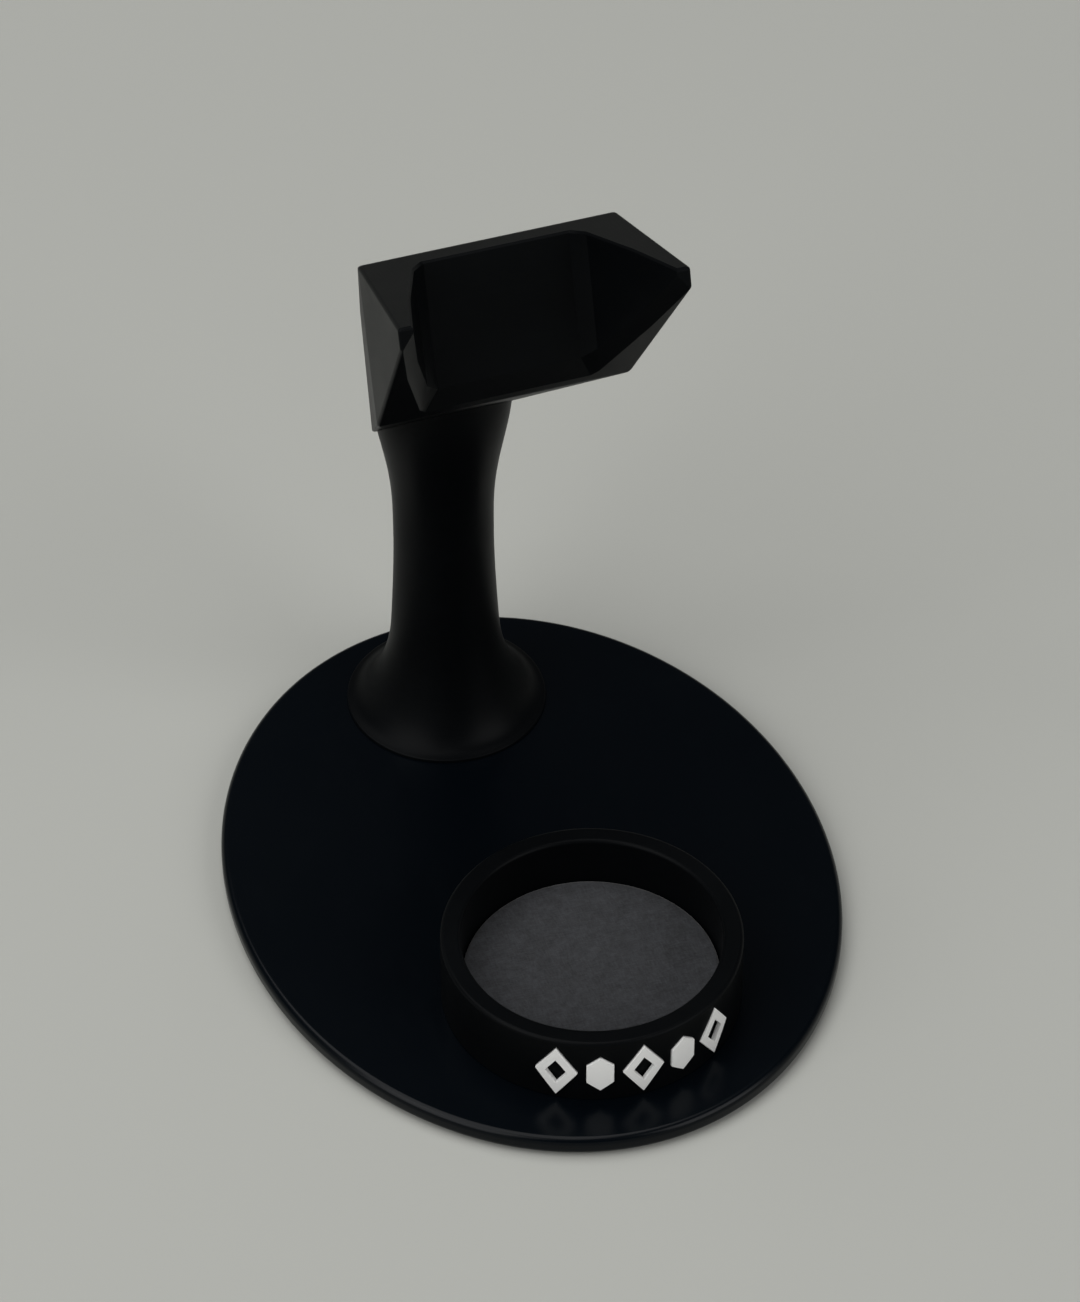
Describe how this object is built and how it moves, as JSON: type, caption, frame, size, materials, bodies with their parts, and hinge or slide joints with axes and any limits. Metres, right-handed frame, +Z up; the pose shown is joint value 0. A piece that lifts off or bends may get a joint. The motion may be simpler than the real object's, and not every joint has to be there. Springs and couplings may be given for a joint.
{
  "type": "racket display stand",
  "caption": "Free-standing racket stand: oval base on rubber feet, round padded cup for the end of the handle, flared post and an open faceted cradle that the handle leans in.",
  "frame": {"origin": "under the middle of the oval base, on the plane that the rubber feet stand on", "axes": "+Z up; -Y towards the front, where the cup is; X across, the plane of symmetry is X = 0"},
  "size_m": [0.1376, 0.174, 0.1768],
  "materials": {
    "plate_black": "black plastic, smooth satin",
    "print_black": "black printed plastic, satin, with fine layer lines",
    "mark_white": "white printed plastic, satin",
    "felt_grey": "dark grey needled felt",
    "foot_rubber": "black moulded rubber, matt",
    "screw_steel": "zinc-plated steel, satin",
    "insert_brass": "turned brass"
  },
  "bodies": {
    "root": {"base_plate": "plate_black", "rubber_foot_1": "foot_rubber", "rubber_foot_2": "foot_rubber", "rubber_foot_3": "foot_rubber", "rubber_foot_4": "foot_rubber", "cup_screw_1": "screw_steel", "cup_screw_2": "screw_steel", "cup_screw_3": "screw_steel", "cup_insert_1": "insert_brass", "cup_insert_2": "insert_brass", "cup_insert_3": "insert_brass", "post_screw_1": "screw_steel", "post_screw_2": "screw_steel", "post_screw_3": "screw_steel", "post_insert_1": "insert_brass", "post_insert_2": "insert_brass", "post_insert_3": "insert_brass", "butt_cup": "print_black", "cup_pad": "felt_grey", "cup_mark_1": "mark_white", "cup_mark_2": "mark_white", "cup_mark_3": "mark_white", "cup_mark_4": "mark_white", "cup_mark_5": "mark_white", "post": "print_black", "cradle": "print_black", "cradle_screw": "screw_steel", "cradle_insert": "insert_brass"}
  },
  "joints": []
}
